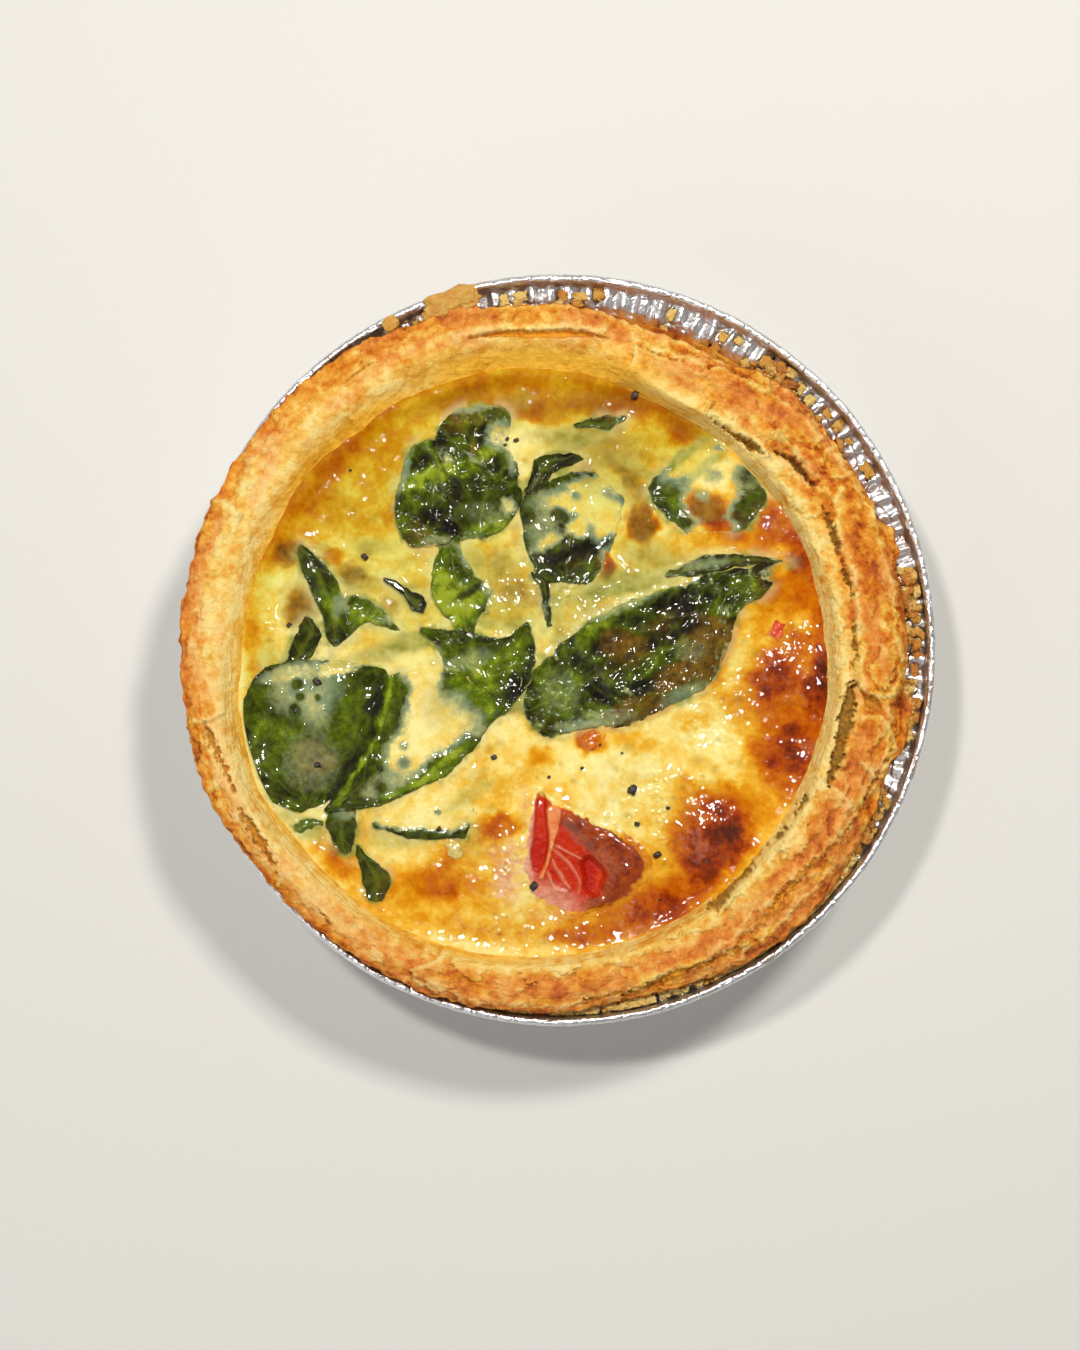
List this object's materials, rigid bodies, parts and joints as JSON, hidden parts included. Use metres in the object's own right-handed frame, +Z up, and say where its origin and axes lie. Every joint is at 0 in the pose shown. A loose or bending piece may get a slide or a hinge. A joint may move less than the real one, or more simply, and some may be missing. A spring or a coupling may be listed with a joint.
{
  "type": "quiche",
  "caption": "Small round quiche with wilted spinach leaves and tomato in browned custard, in a flaky pastry crust that sits in its fluted foil tin.",
  "frame": {"origin": "centre of the tin's flat base, on the surface it stands on", "axes": "+Z up, through the middle of the tin; +Y towards the end of the rim where the dough tongue lies over the bead; +X towards the side where the custard is browned darkest"},
  "size_m": [0.1275, 0.127, 0.0334],
  "materials": {
    "foil": "bright, thin pressed foil",
    "crust": "dry, flaky baked pastry",
    "custard": "moist, browned in patches",
    "spinach": "wet, veined leaf",
    "tomato": "wet, cut tomato flesh",
    "browned": "browned, glossy",
    "onion": "glassy, cooked"
  },
  "bodies": {
    "root": {"foil_tin": "foil", "pastry_crust": "crust", "custard_filling": "custard", "leaf_big_left": "spinach", "leaf_big_round": "spinach", "leaf_big_right": "spinach", "leaf_top_edge": "spinach", "leaf_middle_dark": "spinach", "leaf_middle_folded": "spinach", "leaf_middle_veiled": "spinach", "leaf_cluster_right": "spinach", "leaf_cluster_top": "spinach", "leaf_cluster_left": "spinach", "leaf_right_veiled": "spinach", "leaf_top_small": "spinach", "leaf_left_spear": "spinach", "leaf_left_curl": "spinach", "leaf_left_scrap": "spinach", "leaf_left_sliver": "spinach", "leaf_middle_bright": "spinach", "leaf_stalk": "spinach", "leaf_low_veiled": "spinach", "leaf_low_wedge": "spinach", "leaf_low_spear": "spinach", "leaf_low_curl": "spinach", "tomato_half": "tomato", "tomato_bit": "tomato", "browned_bit": "browned", "onion_bit": "onion"}
  },
  "joints": []
}
